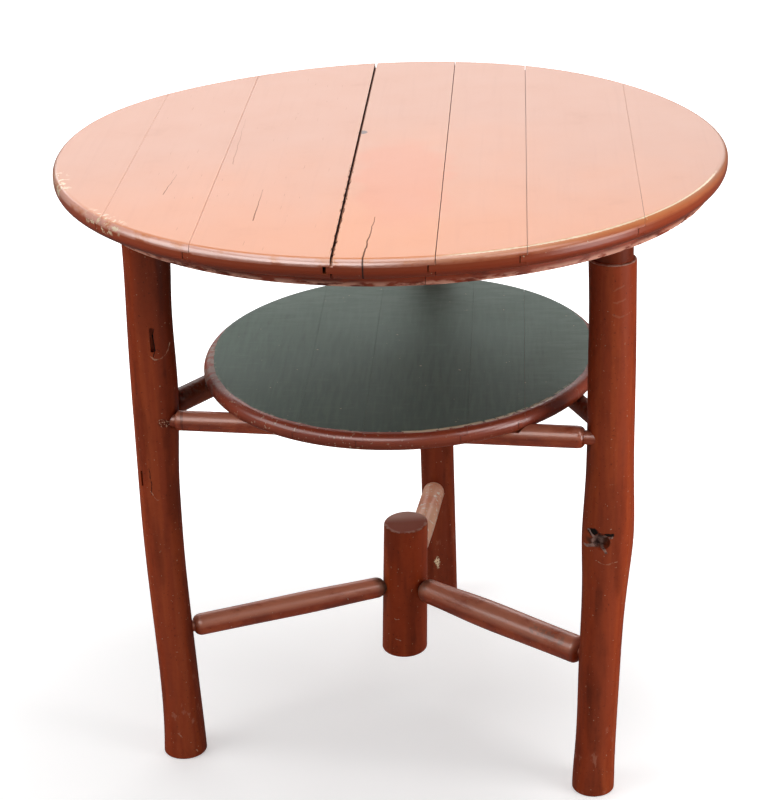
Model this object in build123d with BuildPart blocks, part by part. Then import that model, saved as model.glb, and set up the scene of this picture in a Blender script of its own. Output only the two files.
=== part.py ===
from build123d import *
from math import cos, degrees, radians, sin, sqrt
import os

# Rustic hickory table, in millimetres. A round top of tongue-and-groove boards lies on a ring of
# six segments. Three natural poles carry it, tied by three upper rungs, which carry a round shelf,
# and by three lower arms, which meet in a short hanging post.
# +Z is up, +X is the table's right and +Y its rear. The origin is on the floor under the top's middle.

# ---------------------------------------------------------------- Top
table_height = 734
top_diameter = 762
top_thickness = 22
top_upper_round = 8                                   # rounding of the rim, above
top_lower_round = 10                                  # rounding of the rim, below
top_wander = (-0.5, -1.5, 6, -0.5, -6.5, 4, 0.5, -1.5, 0, -0.5, 1, 0)  # rim sawn by hand, in even steps
grain_angle = 3.6                                     # the grain's turn from +Y towards +X, degrees
top_joints = (-288, -184, -37, 65, 155, 275)          # joint lines, measured across the grain
top_gaps = (0.3, 0.5, 3, 0.8, 0.6, 0.3)               # how far each joint has opened
tongue_length = 7
tongue_thickness = 7
tongue_clearance = 0.3

# ---------------------------------------------------------------- Ring under the top
ring_inset = 22                                       # from the top's rim to the ring's
ring_shift = 6.5                                      # the ring sits this far to the right
ring_thickness = 14
ring_width = 124
ring_segments = 6
ring_first_joint = -86                                # degrees
ring_joint_gap = 0.6
ring_edge_round = 2

# ---------------------------------------------------------------- Legs
leg_inset = 91                                        # from the top's rim to the circle of the legs
leg_tenon_diameter = 45
leg_tenon_exposed = 35                                # bare tenon between shoulder and ring
leg_shoulder_round = 2
foot_round = 2
wood_clearance = 0.2                                  # round a tenon in its socket, on each side
leg_angles = {"left": 197.4, "right": 318, "back": 79.6}
# Each pole's stations, evenly spaced from the foot to the shoulder: drift in X and Y, diameter.
leg_stations = {
    "left": (
        (3.2, -2, 52.5), (2.8, 0.5, 47.5), (0.8, 1, 46), (-1.8, 1.5, 46), (-3.9, 2, 46.5), (-4.4, 2, 47.5),
        (-3.2, 1.5, 49.5), (-1, 1, 53.5), (-0.6, 0.5, 53), (0.4, 0, 52), (0.7, 0, 51.5),
    ),
    "right": (
        (2.4, -4, 49.5), (5.3, -2.5, 47), (7.7, -3, 47.5), (10.2, -3, 48.5), (13.8, -2.5, 51.5),
        (16.8, -2, 58.5), (18.4, -2, 54.5), (19, -2, 52.5), (19.4, -2, 52.5), (19.6, -2, 51.5),
        (18.8, -2, 52),
    ),
    "back": (
        (-0.5, 0, 46.5), (-0.3, 0.5, 45), (-0.9, 1, 45), (-1.5, 1, 46), (-1, 0, 46.5), (-0.3, -1, 47),
    ),
}
knot_height = 337                                     # open knot in the right leg's swelling
knot_bearing = -112                                   # degrees
knot_width = 23
knot_tall = 21
knot_depth = 9
knot_narrowing = 4                                    # how much smaller its floor is, on each side
# Branch scars of the left leg: height, bearing, length, width.
leg_scars = ((551, -82, 30, 4.5), (375, -138, 20, 3.5))
scar_depth = 5
cut_margin = 3                                        # knot and scars are cut from this far outside

# ---------------------------------------------------------------- Shelf
shelf_height = 485.5                                  # top face at the shelf's middle
shelf_shift = 8                                       # the shelf sits this far to the right
shelf_leg_margin = 55                                 # from the circle of the legs to the shelf's rim
shelf_thickness = 19
shelf_round = 8.5
shelf_rise_back = 0.032                               # slope up towards the rear
shelf_rise_right = 0.012                              # slope up towards the right
shelf_joints = (-105, -33, 81, 144)
shelf_gaps = (0.2, 0.2, 0.2, 0.2)

# ---------------------------------------------------------------- Rungs and arms
rung_tenon_diameter = 13
front_tenon_diameter = 16                             # the front rung's tenons are stouter
rung_core_share = 0.95                                # wood left at a leg's middle, in rung tenons
arm_tenon_diameter = 14
arm_leg_core = 8                                      # arm tenons stop this far from a leg's middle
arm_post_core = 10                                    # and this far from the post's middle
socket_end_gap = 0.4
shoulder_gap = 1
# Rungs: the legs they join, tenon, axis below the shelf's underside at each leg, how far each end
# goes in aside of its leg's middle, four diameters on the way, length of the whittled noses.
rungs = {
    "rung_front": (
        ("left", "right"), front_tenon_diameter, (14.5, 5.5), (8, 14), (23.5, 24, 25.5, 25.5), (3, 8),
    ),
    "rung_left_back": (
        ("left", "back"), rung_tenon_diameter, (8, 9), (0, 0), (28, 28, 26, 24), (10, 12),
    ),
    "rung_right_back": (
        ("right", "back"), rung_tenon_diameter, (8, 8), (5, 0), (21.5, 22, 22, 21), (10, 10),
    ),
}
nose_step = 0.8                                       # how far a nose's tip stands over its tenon
nose_lead = 0.25                                      # share of a nose that rises steeply
rung_screws_across = {                                # shelf screws, measured across the grain
    "rung_front": (-69, 24, 112),
    "rung_left_back": (-170, -69),
    "rung_right_back": (112, 187),
}
# Arms: height at the post and at the leg, drift in X of the end at the leg, bare neck at the leg,
# four diameters from the post out, length of the whittled nose at each end.
arms = {
    "left": (175, 165, 0, 1, (25.5, 27.5, 27, 26.5), (11, 10)),
    "right": (174.5, 172.5, 0, 2, (30, 34.5, 34, 33), (12, 8)),
    "back": (172, 174, -1.5, 1, (25, 28, 29.5, 28.5), (10, 10)),
}

# ---------------------------------------------------------------- Centre post
post_base = 82.5
post_length = 176.5
post_top_diameter = 53.5
post_base_diameter = 56
post_lean = 6                                         # how far the top end stands to the right
post_base_round = 4
post_top_round = 1.5
post_saw_tilt = (4, -2)                               # its top is sawn out of square, degrees

# ---------------------------------------------------------------- Screws
screw_diameter = 4
screw_head_diameter = 8
screw_head_height = 3
screw_bite = 12                                       # how far a screw goes into a board
screw_clearance = 0.2
rim_screw_inset = 17                                  # outer screws, from the ring's rim
inner_screw_inset = 104                               # inner screws, from the ring's rim
inner_screw_reach = 0.7                               # boards within this share get inner screws

# ---------------------------------------------------------------- Sizes that follow
top_radius = top_diameter / 2
top_underside = table_height - top_thickness
ring_underside = top_underside - ring_thickness
ring_outer = top_radius - ring_inset
ring_inner = ring_outer - ring_width
leg_circle = top_radius - leg_inset
leg_shoulder = ring_underside - leg_tenon_exposed
shelf_radius = leg_circle - shelf_leg_margin
rung_core = rung_core_share * rung_tenon_diameter     # rung tenons stop this far from a leg's middle

across = Vector(cos(radians(grain_angle)), -sin(radians(grain_angle)), 0)
along = Vector(sin(radians(grain_angle)), cos(radians(grain_angle)), 0)
shelf_normal = Vector(-shelf_rise_right, -shelf_rise_back, 1).normalized()
shelf_plane = Plane(
    origin=(shelf_shift, 0, shelf_height),
    x_dir=across - shelf_normal * across.dot(shelf_normal),
    z_dir=shelf_normal,
)
shelf_bottom_plane = shelf_plane.offset(-shelf_thickness)

os.makedirs("parts", exist_ok=True)


def save(part, name):
    """Label a finished piece and write it under its own name."""
    part.label = name
    export_step(part, f"parts/{name}.step")


def shelf_bottom_height(x, y):
    """Height of the shelf's underside over a point of the floor."""
    start = shelf_bottom_plane.origin
    return start.Z + shelf_rise_right * (x - start.X) + shelf_rise_back * (y - start.Y)


def between(stations, share):
    """Value at a share of the way along evenly spaced stations, on a smooth curve through them."""
    place = share * (len(stations) - 1)
    i = min(int(place), len(stations) - 2)
    rest = place - i
    here, there = stations[i], stations[i + 1]
    slope_here = (there - stations[max(i - 1, 0)]) / 2
    slope_there = (stations[min(i + 2, len(stations) - 1)] - here) / 2
    start = here * (1 + 2 * rest) + slope_here * rest
    end = there * (3 - 2 * rest) - slope_there * (1 - rest)
    return start * (1 - rest) ** 2 + end * rest**2


def leg_section(leg, height):
    """Centre and radius of a leg at a height."""
    share = min(max(height / leg_shoulder, 0), 1)
    stations = [Vector(*station) for station in leg_stations[leg]]
    drift_x, drift_y, diameter = between(stations, share)
    angle = radians(leg_angles[leg])
    centre = Vector(leg_circle * cos(angle) + drift_x, leg_circle * sin(angle) + drift_y, height)
    return centre, diameter / 2


def post_centre(height):
    """Point of the post's leaning centre line at a height."""
    return Vector(post_lean * (height - post_base) / post_length, 0, height)


def post_radius(height):
    """Radius of the tapered post at a height."""
    share = (height - post_base) / post_length
    return (post_base_diameter + (post_top_diameter - post_base_diameter) * share) / 2


# A bar is (start point, end point, radius of the piece it meets at each, neck at the end, core at
# the start, core at the end, tenon diameter, diameters on the way, nose lengths).
def rung_bar(name):
    """Where a rung runs and what it fits, from the two legs it joins."""
    legs, tenon, drops, asides, diameters, noses = rungs[name]
    ends = []
    for leg, drop in zip(legs, drops):
        guess, radius = leg_section(leg, shelf_height)
        height = shelf_bottom_height(guess.X, guess.Y) - drop
        ends.append(leg_section(leg, height))
    (start, start_radius), (end, end_radius) = ends
    side = (end - start).cross(Vector(0, 0, 1)).normalized()
    start += side * asides[0]
    end += side * asides[1]
    return start, end, start_radius, end_radius, 0, rung_core, rung_core, tenon, diameters, noses


def arm_bar(leg):
    """Where an arm runs and what it fits, from the post out to its leg."""
    post_height, leg_height, drift, neck, diameters, noses = arms[leg]
    end, end_radius = leg_section(leg, leg_height)
    end += Vector(drift, 0, 0)
    start = post_centre(post_height)
    start_radius = post_radius(post_height)
    fit = (arm_post_core, arm_leg_core, arm_tenon_diameter)
    return start, end, start_radius, end_radius, neck, *fit, diameters, noses


def whittled_bar(bar):
    """Turn a bar about its own line: tenon, shoulder, nose, belly, nose, shoulder, tenon."""
    start, end, start_radius, end_radius, neck, start_core, end_core, tenon, diameters, noses = bar
    length = (end - start).length
    first = start_radius + shoulder_gap
    last = length - end_radius - shoulder_gap - neck
    body_start = first + noses[0]
    body_end = last - noses[1]
    step = (body_end - body_start) / (len(diameters) - 1)
    belly = [(body_start + step * i, diameter / 2) for i, diameter in enumerate(diameters)]
    first_radius, last_radius = diameters[0] / 2, diameters[-1] / 2
    tip = tenon / 2 + nose_step
    bar_plane = Plane(origin=start, x_dir=end - start, z_dir=(end - start).cross(Vector(0, 0, 1)))
    with BuildSketch(bar_plane) as profile:
        with BuildLine():
            Polyline(
                (start_core, 0), (start_core, tenon / 2), (first, tenon / 2), (first, tip)
            )
            Bezier((first, tip), (first + nose_lead * noses[0], first_radius), belly[0])
            Spline(*belly, tangents=((1, 0), (1, 0)))
            Bezier(belly[-1], (last - nose_lead * noses[1], last_radius), (last, tip))
            Polyline(
                (last, tip), (last, tenon / 2), (length - end_core, tenon / 2),
                (length - end_core, 0), (start_core, 0),
            )
        make_face()
    revolve(profile.sketch, axis=Axis(start, end - start))


def socket(bar, at_end):
    """Bore the blind socket of a bar's tenon, from outside the piece in to its core."""
    start, end, start_radius, end_radius, _, start_core, end_core, tenon, *_ = bar
    if at_end:
        centre, inward, radius, core = end, start - end, end_radius, end_core
    else:
        centre, inward, radius, core = start, end - start, start_radius, start_core
    bore_plane = Plane(origin=centre, z_dir=inward).offset(core - socket_end_gap)
    with BuildSketch(bore_plane) as mouth:
        Circle(tenon / 2 + wood_clearance)
    extrude(mouth.sketch, amount=2 * radius, mode=Mode.SUBTRACT)


def strip(section_plane, left, right, left_gap, right_gap, thickness, reach):
    """Keep one board of a round blank: tongue on its left edge, groove in its right edge."""
    middle = -thickness / 2
    half = tongue_thickness / 2
    slack = tongue_clearance
    edge_left = left + left_gap / 2
    edge_right = right - right_gap / 2
    outline = [(edge_left, 0), (edge_left, middle + half)]
    if left_gap:
        tip = edge_left - tongue_length
        outline += [(tip, middle + half), (tip, middle - half)]
    outline += [(edge_left, middle - half), (edge_left, -thickness), (edge_right, -thickness)]
    if right_gap:
        floor_x = edge_right - tongue_length - slack
        outline += [
            (edge_right, middle - half - slack), (floor_x, middle - half - slack),
            (floor_x, middle + half + slack), (edge_right, middle + half + slack),
        ]
    outline += [(edge_right, 0)]
    with BuildSketch(section_plane) as section:
        with BuildLine():
            Polyline(*outline, close=True)
        make_face()
    extrude(section.sketch, amount=reach, both=True, mode=Mode.INTERSECT)


def boards(joints, gaps, radius):
    """Number, left, right, left gap and right gap of each board across a round."""
    lines = (-radius, *joints, radius)
    openings = (0, *gaps, 0)
    for i in range(len(lines) - 1):
        yield i + 1, lines[i], lines[i + 1], openings[i], openings[i + 1]


def screw_shape(head_plane, length, clearance=0, mode=Mode.ADD):
    """A countersunk screw, or its hole, whose head is flush with a plane and which goes along +Z."""
    head = screw_head_diameter / 2 + clearance
    shank = screw_diameter / 2 + clearance
    side = Plane(origin=head_plane.origin, x_dir=head_plane.x_dir, z_dir=-head_plane.y_dir)
    with BuildSketch(side) as profile:
        with BuildLine():
            Polyline(
                (0, 0), (head, 0), (shank, screw_head_height), (shank, length + clearance),
                (0, length + clearance), close=True,
            )
        make_face()
    revolve(profile.sketch, axis=Axis(head_plane.origin, head_plane.z_dir), mode=mode)


# ---------------------------------------------------------------- Where the screws go
def ring_screw_planes(left, right):
    """Screws that hold one top board: front and rear, near the ring's rim and near its bore."""
    middle = (max(left, -ring_outer) + min(right, ring_outer)) / 2
    circles = [ring_outer - rim_screw_inset]
    if abs(middle) < inner_screw_reach * ring_inner:
        circles.append(ring_outer - inner_screw_inset)
    planes = []
    for circle in circles:
        for side in (-1, 1):
            spot = across * middle + along * (side * sqrt(circle**2 - middle**2))
            planes.append(Plane(origin=(spot.X, spot.Y, ring_underside)))
    return planes


def shelf_screw_planes(name):
    """Screws that come up through one rung into the shelf, square to it."""
    start, end, *_, diameters, _ = rung_bar(name)
    planes = []
    for spot_across in rung_screws_across[name]:
        share = (spot_across - start.dot(across)) / (end - start).dot(across)
        on_axis = start + (end - start) * share
        low = on_axis - shelf_normal * (min(diameters) / 2 - screw_head_height)
        planes.append(Plane(origin=low, x_dir=shelf_plane.x_dir, z_dir=shelf_normal))
    return planes


def shelf_screw_length(head_plane):
    """From the head in the rung to the bite in the shelf."""
    depth = (shelf_bottom_plane.origin - head_plane.origin).dot(shelf_normal)
    return depth + screw_bite


top_board_list = list(boards(top_joints, top_gaps, top_radius + max(top_wander)))
shelf_board_list = list(boards(shelf_joints, shelf_gaps, shelf_radius))
all_ring_screws = []
for _, left, right, *_ in top_board_list:
    all_ring_screws += ring_screw_planes(left, right)
all_shelf_screws = []
for name in rungs:
    all_shelf_screws += shelf_screw_planes(name)
ring_screw_length = ring_thickness + screw_bite

# ---------------------------------------------------------------- Top boards
with BuildPart() as top_blank:
    with BuildSketch(Plane.XY.offset(top_underside)):
        with BuildLine():
            rim_points = []
            for i, wander in enumerate(top_wander):
                bearing = radians(360 / len(top_wander) * i)
                reach = top_radius + wander
                rim_points.append((reach * cos(bearing), reach * sin(bearing)))
            Spline(*rim_points, periodic=True)
        make_face()
    extrude(amount=top_thickness)
    fillet(top_blank.edges().group_by(Axis.Z)[-1], radius=top_upper_round)
    fillet(top_blank.edges().group_by(Axis.Z)[0], radius=top_lower_round)

top_section = Plane(origin=(0, 0, table_height), x_dir=across, z_dir=-along)
for number, left, right, left_gap, right_gap in top_board_list:
    with BuildPart() as top_board:
        add(top_blank.part)
        strip(top_section, left, right, left_gap, right_gap, top_thickness, top_diameter)
        for head_plane in ring_screw_planes(left, right):
            screw_shape(head_plane, ring_screw_length, screw_clearance, Mode.SUBTRACT)
    save(top_board.part, f"top_board_{number}")

# ---------------------------------------------------------------- Ring segments
segment_angle = 360 / ring_segments
for i in range(ring_segments):
    first_angle = ring_first_joint + segment_angle * i
    outer_trim = degrees(ring_joint_gap / 2 / ring_outer)
    inner_trim = degrees(ring_joint_gap / 2 / ring_inner)
    with BuildPart() as ring_segment:
        with BuildSketch(Plane((ring_shift, 0, ring_underside))):
            with BuildLine():
                outer_sweep = segment_angle - 2 * outer_trim
                inner_sweep = segment_angle - 2 * inner_trim
                outer = CenterArc((0, 0), ring_outer, first_angle + outer_trim, outer_sweep)
                inner = CenterArc((0, 0), ring_inner, first_angle + inner_trim, inner_sweep)
                Line(outer @ 0, inner @ 0)
                Line(outer @ 1, inner @ 1)
            make_face()
        extrude(amount=ring_thickness)
        low_arcs = ring_segment.edges().filter_by(GeomType.CIRCLE).group_by(Axis.Z)[0]
        fillet(low_arcs.sort_by(SortBy.LENGTH)[-1], radius=ring_edge_round)
        for leg in leg_angles:
            leg_top, _ = leg_section(leg, leg_shoulder)
            with BuildSketch(Plane((leg_top.X, leg_top.Y, ring_underside))):
                Circle(leg_tenon_diameter / 2 + wood_clearance)
            extrude(amount=ring_thickness, mode=Mode.SUBTRACT)
        for head_plane in all_ring_screws:
            screw_shape(head_plane, ring_screw_length, screw_clearance, Mode.SUBTRACT)
    save(ring_segment.part, f"ring_segment_{i + 1}")

# ---------------------------------------------------------------- Legs
leg_bars = {leg: [] for leg in leg_angles}
for name, ((start_leg, end_leg), *_) in rungs.items():
    leg_bars[start_leg].append((rung_bar(name), False))
    leg_bars[end_leg].append((rung_bar(name), True))
for leg in arms:
    leg_bars[leg].append((arm_bar(leg), True))


def pole(leg):
    """A natural pole through its stations, with a rounded foot, a shoulder and a top tenon."""
    outward = Vector(cos(radians(leg_angles[leg])), sin(radians(leg_angles[leg])), 0)
    rounds = []
    spans = len(leg_stations[leg]) - 1
    for i in range(spans + 1):
        centre, radius = leg_section(leg, leg_shoulder * i / spans)
        with BuildSketch(Plane(centre, x_dir=outward)) as section:
            Circle(radius)
        rounds.append(section.sketch)
    wood = loft(rounds)
    fillet(wood.edges().group_by(Axis.Z)[0], radius=foot_round)
    fillet(wood.edges().group_by(Axis.Z)[-1], radius=leg_shoulder_round)
    leg_top, _ = leg_section(leg, leg_shoulder)
    with BuildSketch(Plane(leg_top)) as tenon:
        Circle(leg_tenon_diameter / 2)
    extrude(tenon.sketch, amount=leg_tenon_exposed + ring_thickness)


def side_plane(leg, height, bearing):
    """Plane just clear of a leg's side, facing out at a bearing."""
    centre, radius = leg_section(leg, height)
    out = Vector(cos(radians(bearing)), sin(radians(bearing)), 0)
    spot = centre + out * (radius + cut_margin)
    return Plane(origin=spot, x_dir=Vector(0, 0, 1).cross(out), z_dir=out)


with BuildPart() as leg_left:
    pole("left")
    for bar, at_end in leg_bars["left"]:
        socket(bar, at_end)
    for height, bearing, length, width in leg_scars:
        with BuildSketch(side_plane("left", height, bearing)):
            SlotOverall(length, width, rotation=90)
        extrude(amount=-cut_margin - scar_depth, mode=Mode.SUBTRACT)
save(leg_left.part, "leg_left")

with BuildPart() as leg_right:
    pole("right")
    for bar, at_end in leg_bars["right"]:
        socket(bar, at_end)
    flare = knot_narrowing * cut_margin / knot_depth
    mouth_plane = side_plane("right", knot_height, knot_bearing)
    with BuildSketch(mouth_plane) as mouth:
        Ellipse(knot_width / 2 + flare, knot_tall / 2 + flare)
    with BuildSketch(mouth_plane.offset(-cut_margin - knot_depth)) as floor:
        Ellipse(knot_width / 2 - knot_narrowing, knot_tall / 2 - knot_narrowing)
    loft([mouth.sketch, floor.sketch], mode=Mode.SUBTRACT)
save(leg_right.part, "leg_right")

with BuildPart() as leg_back:
    pole("back")
    for bar, at_end in leg_bars["back"]:
        socket(bar, at_end)
save(leg_back.part, "leg_back")

# ---------------------------------------------------------------- Rungs
for name in rungs:
    with BuildPart() as rung:
        whittled_bar(rung_bar(name))
        # The flat that is planed on the rung where the shelf lies on it.
        with BuildSketch(shelf_bottom_plane):
            Circle(shelf_radius)
        extrude(amount=shelf_thickness, mode=Mode.SUBTRACT)
        for head_plane in shelf_screw_planes(name):
            screw_shape(head_plane, shelf_screw_length(head_plane), screw_clearance, Mode.SUBTRACT)
            with BuildSketch(head_plane):
                Circle(screw_head_diameter / 2 + screw_clearance)
            extrude(amount=-2 * screw_head_diameter, mode=Mode.SUBTRACT)
    save(rung.part, name)

# ---------------------------------------------------------------- Shelf boards
with BuildPart() as shelf_blank:
    with BuildSketch(shelf_bottom_plane):
        Circle(shelf_radius)
    extrude(amount=shelf_thickness)
    fillet(shelf_blank.edges().filter_by(GeomType.CIRCLE), radius=shelf_round)

shelf_section = Plane(origin=shelf_plane.origin, x_dir=shelf_plane.x_dir, z_dir=-shelf_plane.y_dir)
for number, left, right, left_gap, right_gap in shelf_board_list:
    with BuildPart() as shelf_board:
        add(shelf_blank.part)
        strip(shelf_section, left, right, left_gap, right_gap, shelf_thickness, top_diameter)
        for head_plane in all_shelf_screws:
            screw_shape(head_plane, shelf_screw_length(head_plane), screw_clearance, Mode.SUBTRACT)
    save(shelf_board.part, f"shelf_board_{number}")

# ---------------------------------------------------------------- Post
post_top = post_base + post_length
with BuildPart() as centre_post:
    for height in (post_base, post_top):
        with BuildSketch(Plane(post_centre(height))):
            Circle(post_radius(height))
    loft()
    saw_depth = post_radius(post_top) * sin(radians(abs(post_saw_tilt[0])))
    saw_plane = Plane(post_centre(post_top - saw_depth)).rotated((*post_saw_tilt, 0))
    split(bisect_by=saw_plane, keep=Keep.BOTTOM)
    fillet(centre_post.edges().group_by(Axis.Z)[0], radius=post_base_round)
    fillet(centre_post.edges().group_by(Axis.Z)[-1], radius=post_top_round)
    for leg in arms:
        socket(arm_bar(leg), False)
save(centre_post.part, "centre_post")

# ---------------------------------------------------------------- Arms
for leg in arms:
    with BuildPart() as arm:
        whittled_bar(arm_bar(leg))
    save(arm.part, f"arm_{leg}")

# ---------------------------------------------------------------- Screws
with BuildPart() as ring_screws:
    for head_plane in all_ring_screws:
        screw_shape(head_plane, ring_screw_length)
save(ring_screws.part, "ring_screws")

with BuildPart() as shelf_screws:
    for head_plane in all_shelf_screws:
        screw_shape(head_plane, shelf_screw_length(head_plane))
save(shelf_screws.part, "shelf_screws")
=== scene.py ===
# %% [markdown]
# # A rustic table in worn red paint
# The joinery of this table comes ready made: boards, ring, poles, rungs, arms and post, each at its
# real size and place. This lesson gives it its finish. Every colour, streak, crack and chip is worked
# out by shader nodes from the place on the wood, so it holds from any side and at any distance.

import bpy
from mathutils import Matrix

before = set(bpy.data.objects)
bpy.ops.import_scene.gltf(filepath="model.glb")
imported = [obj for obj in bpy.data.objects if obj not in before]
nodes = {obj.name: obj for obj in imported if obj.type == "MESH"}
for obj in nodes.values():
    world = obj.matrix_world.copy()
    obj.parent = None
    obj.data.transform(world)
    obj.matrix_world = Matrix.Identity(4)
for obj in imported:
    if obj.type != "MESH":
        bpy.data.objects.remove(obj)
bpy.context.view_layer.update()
print(len(nodes), "pieces of joinery")

# %% More tools
from math import cos, pi, radians, sin

import bmesh
import bpy
from mathutils import Euler, Matrix, Vector

# %% [markdown]
# ## Camera
# A standing person looks down at the table from two and a half metres away. A long lens at that
# distance draws the round top as a calm ellipse. The camera leans a little, as a hand-held one does.
# Its frame is meant to be 759 by 800; these numbers are noted here but not set on the render.

# %% Place the camera
frame_width, frame_height = 759, 800
camera_spot = Vector((0, -2.3915, 1.4559))
look_down = radians(23.43)
look_left = radians(0.224)
lean = radians(1.856)

camera = bpy.data.objects.new("camera", bpy.data.cameras.new("camera"))
bpy.context.scene.collection.objects.link(camera)
camera.data.sensor_fit = "HORIZONTAL"
camera.data.sensor_width = 36
camera.data.lens = 103.6
camera.data.shift_x = -0.013
camera.data.shift_y = 0.001
camera.data.clip_end = 100
aim = Euler((pi / 2 - look_down, 0, look_left)).to_matrix().to_4x4()
camera.matrix_world = Matrix.Translation(camera_spot) @ aim @ Matrix.Rotation(-lean, 4, "Z")
bpy.context.scene.camera = camera
print("lens", camera.data.lens, "mm, frame", frame_width, "by", frame_height)

# %% [markdown]
# ## Shader maths as plain expressions
# A shader is a graph of small nodes. Wired by hand, even `1 - mask` takes several lines. A `Wire`
# holds one socket and turns each arithmetic sign into a Math node, so a mask reads as a formula.

# %% The wire class
class Wire:
    """One output socket that understands arithmetic."""

    def __init__(self, graph, socket):
        self.graph = graph
        self.socket = socket

    def __getitem__(self, name):
        return Wire(self.graph, self.socket.node.outputs[name])

    def maths(self, operation, *values):
        return self.graph.node("Math", {"operation": operation}, dict(enumerate(values)))

    def __add__(self, other):
        return self.maths("ADD", self, other)

    def __sub__(self, other):
        return self.maths("SUBTRACT", self, other)

    def __mul__(self, other):
        return self.maths("MULTIPLY", self, other)

    def __truediv__(self, other):
        return self.maths("DIVIDE", self, other)

    def __pow__(self, other):
        return self.maths("POWER", self, other)

    def __gt__(self, other):
        return self.maths("GREATER_THAN", self, other)

    def __abs__(self):
        return self.maths("ABSOLUTE", self)

    def __rsub__(self, other):
        return self.maths("SUBTRACT", other, self)

    __radd__ = __add__
    __rmul__ = __mul__

    def at_least(self, other):
        return self.maths("MAXIMUM", self, other)

    def at_most(self, other):
        return self.maths("MINIMUM", self, other)


# %% [markdown]
# ## A graph under construction
# `Graph.node` is the only place where nodes are made: it sets a node up, then fills its sockets with
# numbers, colours or wires. Materials and the surroundings are all graphs.

# %% The graph class
class Graph:
    """The node tree of a material or a world."""

    def __init__(self, owner):
        owner.use_nodes = True
        self.owner = owner
        self.tree = owner.node_tree
        self.tree.nodes.clear()

    def node(self, kind, settings=None, sockets=None):
        """Add one node: settings first, then values or wires for its sockets."""
        made = self.tree.nodes.new("ShaderNode" + kind)
        for name, value in (settings or {}).items():
            setattr(made, name, value)
        for name, value in (sockets or {}).items():
            if isinstance(value, Wire):
                self.tree.links.new(value.socket, made.inputs[name])
            else:
                made.inputs[name].default_value = value
        return Wire(self, made.outputs[0]) if made.outputs else made


# %% [markdown]
# ## A finish
# A finish is a material that knows where it is on the wood. Its helpers are the painter's everyday
# moves: how far am I past an edge, how blotchy is it here, lay one colour over another, and touch in
# one spot or one scratch at a place that is given in metres. Old varnish over the paint is a clear
# coat that mirrors more than the paint does, so only the polished places get much of it.

# %% The finish class
varnish_roughness = 0.24
varnish_ior = 2.0


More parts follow.
